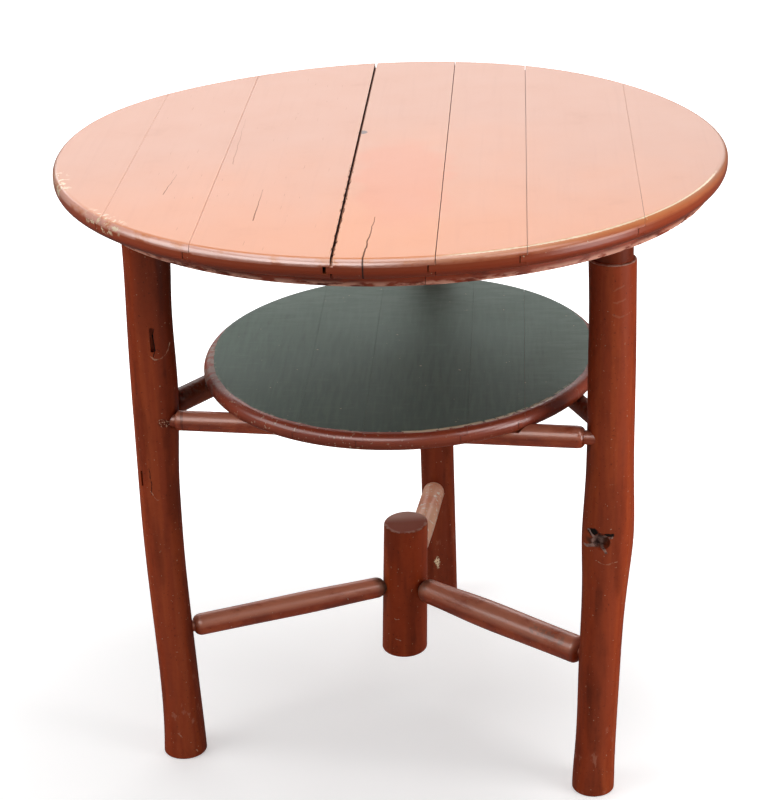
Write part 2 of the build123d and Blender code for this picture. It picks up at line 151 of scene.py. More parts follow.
class Finish(Graph):
    """A node material, built up in layers."""

    def __init__(self, name):
        super().__init__(bpy.data.materials.new(name))
        self.place = self.node("TexCoord")["Object"]
        split = self.node("SeparateXYZ", {}, {0: self.place})
        self.x, self.y, self.z = split["X"], split["Y"], split["Z"]
        facing = self.node("SeparateXYZ", {}, {0: self.node("NewGeometry")["Normal"]})
        self.facing_x, self.facing_y, self.facing_up = facing["X"], facing["Y"], facing["Z"]

    def point(self, x, y, z):
        """A place to look a pattern up at, from three numbers or wires."""
        return self.node("CombineXYZ", {}, {0: x, 1: y, 2: z})

    def vector(self, operation, *values):
        """Vector arithmetic. Lengths and dot products come out of its Value socket."""
        return self.node("VectorMath", {"operation": operation}, dict(enumerate(values)))

    def past(self, value, low, high):
        """0 below low, 1 above high and a soft step between. It falls instead if low is above high."""
        sockets = {"Value": value, "From Min": low, "From Max": high}
        return self.node("MapRange", {"interpolation_type": "SMOOTHSTEP"}, sockets)

    def noise(self, place, scale, detail=4.0, roughness=0.55):
        """Cloudy noise from 0 to 1, about 0.5 on average."""
        sockets = {"Vector": place, "Scale": scale, "Detail": detail, "Roughness": roughness}
        return self.node("TexNoise", {}, sockets)

    def over(self, under, colour, mask):
        """Lay a colour over another where a mask says so."""
        made = self.node("Mix", {"data_type": "RGBA"}, {0: mask, 6: under, 7: colour})
        return Wire(self, made.socket.node.outputs[2])

    def tint(self, under, colour, mask):
        """Multiply a colour into another where a mask says so."""
        settings = {"data_type": "RGBA", "blend_type": "MULTIPLY"}
        made = self.node("Mix", settings, {0: mask, 6: under, 7: colour})
        return Wire(self, made.socket.node.outputs[2])

    def shaken(self, scale, reach):
        """The place on the wood, shaken by noise, so that what is drawn there has rough edges."""
        shake = self.vector("SUBTRACT", self.noise(self.place, scale, 3.0)["Color"], (0.5, 0.5, 0.5))
        return self.vector("ADD", self.place, self.vector("MULTIPLY", shake, (reach, reach, reach)))

    def spot(self, place, middle, size):
        """Mask of a soft-edged spot. Size is its three half lengths in metres."""
        offset = self.vector("DIVIDE", self.vector("SUBTRACT", place, middle), size)
        return self.past(self.vector("LENGTH", offset)["Value"], 1.0, 0.6)

    def stroke(self, place, start, end, width):
        """Mask of a straight stroke between two places."""
        run = Vector(end) - Vector(start)
        offset = self.vector("SUBTRACT", place, start)
        along = self.vector("DOT_PRODUCT", offset, tuple(run / run.length_squared))["Value"]
        along = along.at_least(0).at_most(1)
        nearest = self.vector("MULTIPLY_ADD", tuple(run), self.point(along, along, along), start)
        off = self.vector("DISTANCE", place, nearest)["Value"]
        return self.past(off, width / 2, width / 4)

    def strokes(self, place, corners, width):
        """Mask of a line of strokes from corner to corner."""
        mask = 0.0
        for start, end in zip(corners, corners[1:]):
            mask = self.stroke(place, start, end, width).at_least(mask)
        return mask

    def bump(self, height, reach, strength=1.0):
        """Turn a height from 0 to 1 into a surface normal. Reach is the full depth in metres."""
        sockets = {"Height": height, "Distance": reach, "Strength": strength}
        return self.node("Bump", {}, sockets)

    def paint(self, colour, roughness, normal, shine=0.5, coat=0.0, gleam=(1, 1, 1, 1)):
        """One paint as a surface, with a clear coat where wanted."""
        return self.node("BsdfPrincipled", {}, {
            "Base Color": colour, "Roughness": roughness, "Normal": normal,
            "Specular IOR Level": shine, "Specular Tint": gleam,
            "Coat Weight": coat, "Coat Roughness": varnish_roughness, "Coat IOR": varnish_ior,
        })

    def hand_over(self, surface):
        """Connect the surface to the output and return the material."""
        self.node("OutputMaterial", {}, {"Surface": surface})
        print(self.owner.name, "has", len(self.tree.nodes), "nodes")
        return self.owner

    def finish(self, *layers):
        """Hand over a material of one paint only."""
        return self.hand_over(self.paint(*layers))


# %% [markdown]
# ## Colours of old paint
# Colours are linear light, as Blender wants them. The paint is one brick red everywhere, but light has
# faded it to orange on top and floor dust has greyed the feet; the pale pink on the top's rim is a
# painted highlight.
# A shade isn't laid on but multiplied in, to darken what is there.

# %% Paint colours
faded_red = (0.54, 0.220, 0.120, 1)
warm_red = (0.69, 0.215, 0.056, 1)
bright_orange = (0.66, 0.160, 0.042, 1)
rim_orange = (0.60, 0.160, 0.055, 1)
orange_red = (0.43, 0.072, 0.017, 1)
brick_red = (0.335, 0.046, 0.011, 1)
brown_red = (0.17, 0.025, 0.008, 1)
dark_red = (0.065, 0.012, 0.005, 1)
# Near black: dirt in cracks and splits, and painted shade in the knot's hollow.
dirt_and_shade_black = (0.010, 0.006, 0.004, 1)
cream_chip = (0.80, 0.62, 0.40, 1)
rubbed_pink = (0.50, 0.20, 0.13, 1)
# Pale pink for a painted highlight on the top's rim.
painted_highlight_pink = (0.72, 0.36, 0.29, 1)
# A pinkish sheen, painted as a reflection on the poles' fronts.
painted_sheen_red = (0.30, 0.080, 0.045, 1)
speck_cream = (0.58, 0.36, 0.24, 1)
shelf_green = (0.025, 0.042, 0.031, 1)
shelf_green_light = (0.060, 0.094, 0.070, 1)
shelf_green_dark = (0.012, 0.019, 0.014, 1)
grime_green = (0.050, 0.054, 0.038, 1)
print("base paints ready, the brick red being", brick_red[:3])

# %% Worn places
board_peach = (0.56, 0.23, 0.13, 1)
edge_cream = (0.95, 0.74, 0.50, 1)
filler_pink = (0.90, 0.52, 0.38, 1)
# Pale pink of worn paint, also a painted highlight on the ring's lower edge.
worn_and_highlight_pink = (0.70, 0.32, 0.22, 1)
# Pink of rubbed paint that also serves as a painted highlight on the bars' upper side.
rubbed_and_highlight_rose = (0.74, 0.28, 0.17, 1)
worn_rose = (0.78, 0.43, 0.28, 1)
speck_white = (0.80, 0.70, 0.58, 1)
scratch_tan = (0.60, 0.36, 0.24, 1)
scuff_tan = (0.52, 0.28, 0.20, 1)
scar_brown = (0.38, 0.19, 0.14, 1)
cut_wood = (0.60, 0.38, 0.30, 1)
sawn_red = (0.34, 0.080, 0.040, 1)
sawn_pale = (0.68, 0.41, 0.33, 1)
post_edge_tan = (0.60, 0.36, 0.27, 1)
rim_wood = (0.38, 0.25, 0.20, 1)
shelf_rim_red = (0.35, 0.060, 0.026, 1)
shelf_olive = (0.046, 0.054, 0.038, 1)
# Pale green-grey, painted where the shelf catches more light.
shelf_lit_pale = (0.135, 0.165, 0.140, 1)

# %% Dirt, bare wood and steel
split_brown = (0.16, 0.04, 0.02, 1)
bare_brown = (0.09, 0.026, 0.014, 1)
stub_brown = (0.36, 0.21, 0.17, 1)
stub_dark = (0.10, 0.05, 0.04, 1)
# Dark brown for a painted shadow round the open knot.
knot_shadow = (0.040, 0.022, 0.012, 1)
dust_brown = (0.20, 0.12, 0.09, 1)
steel_grey = (0.30, 0.29, 0.28, 1)
rust_brown = (0.14, 0.06, 0.03, 1)
floor_white = (0.80, 0.80, 0.80, 1)

# %% Shades, and the tint of the green paint's gleam
grain_shade = (0.90, 0.86, 0.82, 1)
smudge_shade = (0.86, 0.82, 0.78, 1)
fine_shade = (0.78, 0.70, 0.68, 1)
# The inner-side, upper-left, under-top and shelf-front tints are painted shade, where less light falls.
inner_side_shade = (0.36, 0.33, 0.32, 1)
upper_left_shade = (0.60, 0.64, 0.68, 1)
under_top_shade = (0.36, 0.48, 0.50, 1)
shelf_front_shade = (0.62, 0.62, 0.60, 1)
green_gleam = (0.62, 1.0, 0.77, 1)

# %% [markdown]
# ## Where a board is
# The boards of the top and the shelf all run one way, a few degrees off the table's own axis. Streaks
# and cracks follow the boards, so every board finish starts from two lengths: across and along the
# grain. The joint lines, counted across, tell one board from the next, and each gets its own tone.

# %% Board coordinates
grain_degrees = 3.6
grain_angle = radians(grain_degrees)
print("the grain runs", grain_degrees, "degrees off the table's axis")


def across_and_along(finish):
    """The two lengths on the boards, in metres, as wires."""
    across = finish.x * cos(grain_angle) - finish.y * sin(grain_angle)
    along = finish.x * sin(grain_angle) + finish.y * cos(grain_angle)
    return across, along


def board_tone(finish, across, joints):
    """A chance number from 0 to 1 that changes from board to board."""
    number = 0
    for joint in joints:
        number = (across > joint) + number
    return finish.node("TexWhiteNoise", {"noise_dimensions": "1D"}, {"W": number + 0.5})


# %% [markdown]
# ## Splits in old paint
# Old paint splits along the grain. A long split is one line between two places, bent a little by
# noise. The short ones come in patches: a Voronoi pattern deals each cell of a stretched grid a middle
# and a chance number, and where the number is high, a thin line with pointed ends is drawn there.

# %% One long split
def crack(finish, across, along, start, end, width):
    """Mask of one split between two places on a board, widest at the first."""
    share = finish.past(along, end[1], start[1])
    wander = finish.noise(finish.point(across * 30, along * 45, start[0] * 50), 1.0) - 0.5
    centre = (along - start[1]) * ((end[0] - start[0]) / (end[1] - start[1])) + start[0]
    off = abs(across - centre - wander * 0.004)
    inside = (along > min(start[1], end[1])) * (1 - (along > max(start[1], end[1])))
    return finish.past(off, (share * 0.7 + 0.3) * width, 0.0) * inside


# %% Many short splits
columns_per_metre, rows_per_metre = 70, 16


def short_splits(finish, across, along, share, length=0.012, width=0.0004):
    """Mask of thin short splits along the grain, in a share of the grid's cells."""
    wander = finish.noise(finish.point(across * 20, along * 90, 5), 1.0, 3.0) - 0.5
    column = across * columns_per_metre + wander * 0.16
    row = along * rows_per_metre
    settings = {"voronoi_dimensions": "2D"}
    cell = finish.node("TexVoronoi", settings, {"Vector": finish.point(column, row, 0), "Scale": 1.0})
    middle = finish.node("SeparateXYZ", {}, {0: cell["Position"]})
    chance = finish.node("SeparateXYZ", {}, {0: cell["Color"]})
    end = finish.past(abs(row - middle["Y"]), (chance["Y"] * 0.7 + 0.3) * (length * rows_per_metre), 0.0)
    line = finish.past(abs(column - middle["X"]), end * (width * columns_per_metre) + 0.0001, 0.0)
    return line * (chance["X"] > 1 - share)


# %% [markdown]
# ## The painted top
# The flat of the top has faded to a soft orange, glossy enough to mirror the sky at a low angle. Its
# rim is redder and darker where less light falls, with cream chips along the edge at the left where
# chairs and hands have knocked it. The sides of the joints are bare and full of dirt.

# %% Facts of the top
top_joints = (-0.288, -0.184, -0.037, 0.065, 0.155, 0.275)
open_joint = top_joints[2]
top_height = 0.734
top_cracks = (
    ((-0.0065, -0.392), (-0.0013, -0.248), 0.0016, 1.0),
    ((-0.1273, -0.256), (-0.128, -0.152), 0.0009, 0.8),
    ((-0.2345, -0.166), (-0.2294, -0.095), 0.0008, 0.7),
    ((-0.172, -0.06), (-0.178, 0.12), 0.0008, 0.35),
)
print(len(top_joints) + 1, "boards,", len(top_cracks), "long splits")


# %% The faded flat
def top_flat(f, across, grain, clouds, smudges):
    """Colour of the flat: soft orange, warmer towards the front, with one bright place."""
    tone = board_tone(f, across, top_joints)
    front = f.past(f.y + (clouds - 0.5) * 0.5 + abs(f.x - 0.05) * 0.35, 0.15, -0.30)
    colour = f.over(faded_red, warm_red, front)
    colour = f.over(colour, board_peach, f.past(tone, 0.2, 1.0) * 0.25)
    colour = f.tint(colour, grain_shade, f.past(grain, 0.50, 0.80) * 0.35)
    colour = f.tint(colour, smudge_shade, f.past(smudges, 0.60, 0.80) * 0.4)
    orange = f.spot(f.shaken(11.0, 0.09), (0.012, -0.13, top_height), (0.066, 0.19, 0.08))
    return f.over(colour, bright_orange, orange * (clouds * 0.7 + 0.05))


# %% The rim
def top_rim(f, colour, rim, rim_blotch):
    """Lay the redder rim over the flat, darker on its downward faces as painted shade, with a painted
    pink highlight band at the left front.
    """
    rim_colour = f.over(rim_orange, orange_red, f.past(rim_blotch, 0.45, 0.70) * 0.5)
    # Painted shade: the rim turns brick red, then brown red, as it faces further down.
    rim_colour = f.over(rim_colour, brick_red, f.past(f.facing_up, 0.40, -0.10))
    rim_colour = f.over(rim_colour, brown_red, f.past(f.facing_up, -0.10, -0.60) * 0.8)
    colour = f.over(colour, rim_colour, rim)
    # Painted highlight: a pale pink band on the rim's upper rounding at the left front.
    pink_highlight = f.past(f.facing_up, 0.97, 0.86) * f.past(f.facing_up, 0.02, 0.32)
    pink_highlight = pink_highlight * f.past(f.x, 0.10, -0.08) * f.past(f.y, -0.02, -0.14)
    return f.over(colour, painted_highlight_pink, pink_highlight * f.past(rim_blotch, 0.66, 0.50) * 0.8)


# %% Splits and the ragged open joint
def top_splits(f, across, along, rim):
    """Masks of the short splits, the long ones, and the chipped paint along the open joint."""
    left = f.past(across, -0.04, -0.08) * f.past(across, -0.33, -0.28)
    patches = f.past(f.noise(f.point(across * 9, along * 5, 2), 1.0, 2.0), 0.40, 0.60)
    splits = short_splits(f, across, along, 0.55) * patches * (left * 0.75 + 0.12) * (1 - rim)
    cracks = 0.0
    for start, end, width, depth in top_cracks:
        cracks = (crack(f, across, along, start, end, width) * depth).at_least(cracks)
    ragged = f.noise(f.point(across * 260, along * 60, 0), 1.0, 4.0)
    from_joint = abs(across - open_joint)
    chipped = f.past(from_joint, 0.0032, 0.0016) * f.past(ragged, 0.50, 0.60)
    return splits, cracks, chipped * f.past(along, -0.02, -0.08)


# %% Chips and worn edges
def top_chips(f, radius):
    """Masks of the cream chips at the left of the rim and the specks all round it."""
    first_wear = f.spot(f.place, (-0.361, -0.092, 0.730), (0.025, 0.045, 0.012))
    second_wear = f.spot(f.place, (-0.302, -0.226, 0.729), (0.042, 0.052, 0.010))
    wear = f.noise(f.point(f.x * 90, f.y * 90, f.z * 120), 1.0, 5.0, 0.65)
    chips = f.past(wear, 0.53, 0.59) * first_wear.at_least(second_wear) * f.past(radius, 0.360, 0.372)
    specks = f.past(f.noise(f.place, 260.0, 2.0), 0.735, 0.76) * f.past(radius, 0.366, 0.378)
    return chips, specks


def top_edge_line(f, rim_blotch):
    """Mask of the thin line at the right where the rim's upper edge is worn to cream."""
    line = f.past(abs(f.facing_up - 0.945), 0.050, 0.020) * f.past(f.x, 0.03, 0.08)
    return line * f.past(f.y, -0.10, -0.16) * f.past(rim_blotch, 0.30, 0.44)


def top_joint_sides(f, across, along, radius):
    """Mask of the boards' sides inside the joints, and the colour of what shows there."""
    side = f.past(abs(f.facing_x), 0.80, 0.95) * f.past(radius, 0.3795, 0.3735)
    filled = f.past(abs(across + 0.236), 0.070, 0.060)
    filled = (f.past(across, 0.24, 0.26) * f.past(along, -0.20, -0.12)).at_least(filled)
    return side, f.over(dark_red, filler_pink, filled)


# %% Red paint on the top boards
def make_top_paint():
    """Faded red paint for the top boards."""
    f = Finish("faded_red_top")
    across, along = across_and_along(f)
    radius = (f.x * f.x + f.y * f.y) ** 0.5
    clouds = f.noise(f.point(f.x * 3.5, f.y * 2.6, 0), 1.0, 4.0)
    grain = f.noise(f.point(across * 130, along * 5, f.z * 20), 1.0, 6.0)
    smudges = f.noise(f.point(f.x * 16, f.y * 16, 4), 1.0, 4.0)
    # At the left the rim colour starts further down, so the pale flat runs onto the rounding as a
    # painted highlight.
    rim = f.past(f.facing_up + f.past(f.x, 0.16, 0.02) * 0.22, 0.86, 0.36)
    rim_blotch = f.noise(f.point(across * 40, along * 22, f.z * 70), 1.0, 4.0)

    colour = top_flat(f, across, grain, clouds, smudges)
    colour = top_rim(f, colour, rim, rim_blotch)
    splits, cracks, chipped = top_splits(f, across, along, rim)
    colour = f.over(colour, split_brown, splits * 0.6)
    colour = f.over(colour, dirt_and_shade_black, cracks)
    knock = f.spot(f.shaken(300.0, 0.004), (-0.030, 0.061, top_height), (0.006, 0.009, 0.01))
    colour = f.over(colour, bare_brown, chipped.at_least(knock) * (1 - rim * 0.5))
    chips, specks = top_chips(f, radius)
    colour = f.over(colour, cream_chip, chips.at_least(specks * 0.7))
    colour = f.over(colour, edge_cream, top_edge_line(f, rim_blotch))
    side, side_colour = top_joint_sides(f, across, along, radius)
    colour = f.over(colour, side_colour, side)

    bare = cracks.at_least(splits * 0.5).at_least(side).at_least(chipped)
    height = grain * 0.22 + clouds * 0.1 + 0.5 - cracks * 0.5 - splits * 0.25 - chips * 0.3
    roughness = 0.34 + smudges * 0.10 - rim * 0.08 + bare * 0.6
    upper_rim = f.past(f.facing_up, 0.97, 0.85) * f.past(f.x, 0.16, 0.02)
    coat = (upper_rim * 0.70 + 0.30) * f.past(f.facing_up, -0.1, 0.3) * (1 - bare)
    return f.finish(colour, roughness, f.bump(height, 0.0009, 0.4), 0.28, coat)


top_paint = make_top_paint()

# %% [markdown]
# ## The ring and the poles
# Both wear the darker brick red. On the poles the paint follows faint ripples where the bark was, so
# their noise is stretched along the pole. Small pale nicks are scattered over them, a few more low
# down, where feet and brooms reach, and there the paint is scuffed too.

# %% Red paint on the ring
ring_middle_x = 0.0065


def make_ring_paint():
    """Brick red paint for the ring, pale along its lower edge: partly worn paint, partly a painted
    highlight.
    """
    f = Finish("brick_red_ring")
    across, along = across_and_along(f)
    from_x = f.x - ring_middle_x
    radius = (from_x * from_x + f.y * f.y) ** 0.5
    blotch = f.noise(f.point(f.x * 30, f.y * 30, f.z * 90), 1.0, 5.0)
    colour = f.over(brick_red, dark_red, f.past(blotch, 0.40, 0.66) * 0.7)
    # Pale along the lower outer edge: partly worn paint, partly a painted highlight.
    edge = f.past(f.z, 0.7050, 0.7005) * f.past(radius, 0.353, 0.357)
    worn = f.noise(f.point(f.x * 55, f.y * 55, f.z * 200), 1.0, 5.0, 0.6)
    colour = f.over(colour, worn_and_highlight_pink, edge * f.past(worn, 0.40, 0.56))
    rough_saw = f.noise(f.point(across * 25, along * 220, f.z * 30), 1.0, 3.0)
    height = rough_saw * 0.4 + blotch * 0.5
    return f.finish(colour, 0.45 + blotch * 0.2, f.bump(height, 0.0012, 0.5), 0.3)


ring_paint = make_ring_paint()


# %% Layers that all turned pieces share
def pole_layers(name, stretch):
    """Paint for poles, rungs, arms and post, before their own wear is added."""
    f = Finish(name)
    tall, wide = stretch
    ripple = f.noise(f.point(f.x * wide, f.y * wide, f.z * tall), 1.0, 5.0)
    streak = f.noise(f.point(f.x * wide * 1.6, f.y * wide * 1.6, f.z * tall * 0.5 + 3), 1.0, 3.0)
    blotch = f.noise(f.place, 14.0, 5.0, 0.6)
    fine = f.noise(f.place, 150.0, 3.0, 0.6)
    colour = f.over(brick_red, orange_red, f.past(streak, 0.46, 0.64) * 0.7)
    colour = f.over(colour, brown_red, f.past(ripple, 0.48, 0.68) * 0.6)
    colour = f.over(colour, dark_red, f.past(streak * 0.6 + blotch * 0.4, 0.45, 0.33) * 0.4)
    colour = f.tint(colour, fine_shade, f.past(fine, 0.45, 0.75) * 0.4)
    grit = f.noise(f.place, 330.0, 1.0)
    nicks = f.past(grit, 0.735, 0.770)
    colour = f.over(colour, dark_red, f.past(grit, 0.30, 0.26) * 0.6)
    return f, colour, ripple, blotch, fine, nicks


# %% [markdown]
# ## Marks on the poles
# Each pole carries its own history: branch knots with a lip of bark, splinters round a socket, the
# broom's scratches at a foot. Each is a stroke or a spot at its measured place, with noise at its edge.
# The slit and the open knot are drawn on a flattened place, with their depth left out, so they run
# unbroken down into the hollows that are cut there.

# %% Where the left pole is marked
left_slit = (
    (-0.2704, 0.0, 0.5640), (-0.2726, 0.0, 0.5550), (-0.2714, 0.0, 0.5450),
    (-0.2708, 0.0, 0.5380), (-0.2732, 0.0, 0.5310),
)
left_slit_lip = (
    (-0.2780, -0.1118, 0.5330), (-0.2720, -0.1128, 0.5275), (-0.2640, -0.1090, 0.5275),
    (-0.2570, -0.1030, 0.5350), (-0.2545, -0.1000, 0.5420),
)
left_lower_slit = ((-0.2890, -0.1080, 0.3900), (-0.2875, -0.1085, 0.3740), (-0.2880, -0.1080, 0.3560))
left_lower_scar = ((-0.2890, -0.1080, 0.3600), (-0.2822, -0.1090, 0.3500), (-0.2740, -0.1085, 0.3520))
splintered_socket = (-0.267, -0.110, 0.4480)
foot_scratch = ((-0.2909, -0.1033, 0.0499), (-0.2768, -0.1115, 0.0332), (-0.2569, -0.1082, 0.0061))
foot_scratch_two = ((-0.2880, -0.1060, 0.0420), (-0.2850, -0.1090, 0.0150))
print("left pole: slit", round((left_slit[0][2] - left_slit[-1][2]) * 1000), "mm long")

# %% Where the right and the rear pole are marked
bark_wrinkles = (
    ((0.2230, -0.2230, 0.6400), (0.2340, -0.2230, 0.6345), (0.2440, -0.2190, 0.6390)),
    ((0.2270, -0.2225, 0.6240), (0.2370, -0.2220, 0.6200), (0.2460, -0.2180, 0.6230)),
    ((0.2320, -0.2220, 0.6080), (0.2400, -0.2210, 0.6040), (0.2480, -0.2170, 0.6060)),
)
knot_middle = (0.2191, 0.0, 0.3353)
knot_tips = (
    ((0.2096, 0.0, 0.3483), 0.0030), ((0.2344, 0.0, 0.3432), 0.0032),
    ((0.2067, 0.0, 0.3268), 0.0050), ((0.2278, 0.0, 0.3244), 0.0046),
)
knot_hollow = (0.2138, 0.0, 0.3468)
knot_split = ((0.2206, 0.0, 0.3447), (0.2350, 0.0, 0.3458))
right_arc_scar = ((0.2160, -0.2215, 0.3130), (0.2278, -0.2250, 0.3080), (0.2400, -0.2225, 0.3120))
rear_chip = (0.0485, 0.2635, 0.0630)
shoulder_height = 0.661
print("right pole: knot at", knot_middle[2], "m, shoulder at", shoulder_height, "m")


# %% Light and shade of the poles
def pole_shades(f, colour, ripple):
    """Painted shade on the inward sides and on the left pole's upper part, and a painted sheen on the
    fronts.
    """
    # Painted shade on the sides that face the table's middle, stronger high up under the top.
    inward = (f.x * f.facing_x + f.y * f.facing_y) * -4.0
    inner_side = f.past(inward, -0.5, 0.8) * (f.past(f.z, 0.40, 0.62) * 0.3 + 0.7)
    inner_side = inner_side * (1 - f.past(f.x, 0.05, 0.15) * 0.4)
    colour = f.tint(colour, inner_side_shade, inner_side)
    # Painted shade on the left pole's upper part, except its side that faces left.
    upper_left = f.past(f.x, -0.15, -0.20) * f.past(f.z, 0.50, 0.64) * f.past(f.facing_x, -0.75, -0.1)
    colour = f.tint(colour, upper_left_shade, upper_left)
    # Painted reflection: a pinkish sheen down the side of each pole that faces the front.
    front = f.past(f.facing_y + (ripple - 0.5) * 0.6, -0.78, -0.97)
    return f.over(colour, painted_sheen_red, front * 0.18)


# %% Pale scars and scratches
def pale_marks(f, broken):
    """Mask of the pale lines: lips of bark, arc scars, scratches and wrinkles."""
    rough_place = f.shaken(220.0, 0.004)
    soft_place = f.shaken(60.0, 0.006)
    lip = f.strokes(rough_place, left_slit_lip, 0.0022)
    scar = f.strokes(rough_place, left_lower_scar, 0.0016)
    scratch = f.strokes(soft_place, foot_scratch, 0.0018)
    scratch = f.strokes(soft_place, foot_scratch_two, 0.0016).at_least(scratch)
    arc = f.strokes(rough_place, right_arc_scar, 0.0022)
    wrinkles = 0.0
    for corners in bark_wrinkles:
        wrinkles = f.strokes(soft_place, corners, 0.0030).at_least(wrinkles)
    lines = lip.at_least(scar).at_least(scratch).at_least(arc) * (broken * 0.7 + 0.3)
    return (wrinkles * 0.15).at_least(lines)


# %% Crumbled paint
def crumbled_places(f, colour):
    """Splinters round the left pole's rung socket and a chip at the rear pole's foot."""
    crumbs = f.noise(f.place, 520.0, 2.0)
    splintered = f.spot(f.shaken(90.0, 0.012), splintered_socket, (0.0110, 0.009, 0.0070))
    colour = f.over(colour, dark_red, splintered * f.past(crumbs, 0.55, 0.45) * 0.7)
    colour = f.over(colour, speck_cream, splintered * f.past(crumbs, 0.56, 0.62))
    chip = f.spot(f.shaken(120.0, 0.010), rear_chip, (0.0036, 0.010, 0.0110))
    return f.over(colour, cream_chip, chip * f.past(crumbs, 0.40, 0.48))


# %% Dark slits
def flattened(f, shaken_place):
    """A place with its depth left out."""
    split = f.node("SeparateXYZ", {}, {0: shaken_place})
    return f.point(split["X"], 0.0, split["Z"])


def dark_slits(f):
    """Mask of the left pole's crooked slit and the fainter one below it."""
    crooked_place = flattened(f, f.shaken(160.0, 0.0015))
    slit = f.strokes(crooked_place, left_slit, 0.0012)
    slit = f.strokes(crooked_place, left_slit[1:4], 0.0022).at_least(slit)
    lower_slit = f.strokes(f.shaken(140.0, 0.004), left_lower_slit, 0.0018)
    return slit.at_least(lower_slit * 0.8)


# %% The open knot
def open_knot(f, colour):
    """A torn star of wood in a dark hollow, with a painted shadow round it and painted shade in the
    hollow. Gives the colour and the hollow's mask.
    """
    knot_place = flattened(f, f.shaken(170.0, 0.0045))
    front_side = f.past(f.y, -0.195, -0.205)
    hollow = f.spot(knot_place, knot_hollow, (0.0068, 0.01, 0.0062))
    hollow = f.stroke(knot_place, *knot_split, 0.0062).at_least(hollow) * front_side
    shadow = f.spot(knot_place, knot_middle, (0.0150, 0.01, 0.0085)) * front_side
    star = f.spot(knot_place, knot_middle, (0.0085, 0.01, 0.0075))
    for tip, width in knot_tips:
        star = f.stroke(knot_place, knot_middle, tip, width).at_least(star)
    splinters = f.noise(f.point(f.x * 260, f.y * 260, f.z * 140), 1.0, 3.0)
    stub_colour = f.over(stub_brown, stub_dark, f.past(splinters, 0.42, 0.66))
    # Painted shadow round the knot, then painted shade that blackens the hollow.
    colour = f.over(colour, knot_shadow, shadow * 0.75)
    colour = f.over(colour, dirt_and_shade_black, hollow)
    return f.over(colour, stub_colour, star * front_side), hollow


# %% Red paint on the poles
def make_pole_paint():
    """Brick red paint on natural poles."""
    f, colour, ripple, blotch, fine, nicks = pole_layers("brick_red_pole", (8, 44))
    colour = pole_shades(f, colour, ripple)
    low = f.past(f.z, 0.16, 0.01)
    scuffs = f.past(f.noise(f.point(f.x * 60, f.y * 60, f.z * 30), 1.0, 5.0, 0.65), 0.60, 0.68)
    colour = f.over(colour, rubbed_pink, scuffs * low * 0.5)
    colour = f.over(colour, speck_cream, nicks * (low * 0.2 + 0.45))

    broken = f.past(fine, 0.42, 0.56)
    pale_lines = pale_marks(f, broken)
    colour = f.over(colour, scratch_tan, pale_lines * 0.7)
    colour = crumbled_places(f, colour)
    colour = f.over(colour, dirt_and_shade_black, dark_slits(f))
    colour, hollow = open_knot(f, colour)

    cut = f.past(f.facing_up, 0.25, 0.55) * f.past(f.z, shoulder_height - 0.006, shoulder_height)
    colour = f.over(colour, cut_wood, cut * (broken * 0.5 + 0.5))
    # Painted shade on the neck between the shoulder and the ring, on its faces that don't look up.
    neck_shade = f.past(f.z, shoulder_height + 0.0015, shoulder_height + 0.004)
    colour = f.over(colour, dark_red, neck_shade * f.past(f.facing_up, 0.3, 0.1) * 0.6)
    height = ripple * 0.55 + fine * 0.14 + blotch * 0.3 - nicks * 0.1 + pale_lines * 0.1
    roughness = 0.38 + blotch * 0.14 + hollow * 0.4
    return f.finish(colour, roughness, f.bump(height, 0.0026, 0.7), 0.09)


pole_paint = make_pole_paint()


# %% [markdown]
# ## Rungs, arms and post
# Feet and hands rub the bars along their upper side, which turns it pink, and that side is painted
# lighter too, a painted highlight where light falls from above. Where the arms meet the post the wet mop
# never reaches, and a dark grey-green ring of grime has stayed. The same recipe serves all of them: the
# rear arm is worn the most, and the rungs under the shelf lie in dusty, painted shade.

# %% Where the rungs and arms are marked
grimy_ends = ((-0.0270, -0.0090, 0.1735), (0.0300, -0.0250, 0.1740), (0.0020, 0.0290, 0.1720))
arm_scar = ((0.1500, -0.1480, 0.1870), (0.1800, -0.1750, 0.1860))
rung_grooves = ((-0.2465, -0.1084, 0.4493), (0.2020, -0.2040, 0.4589))
print(len(grimy_ends), "grimy ends,", len(rung_grooves), "grooves")


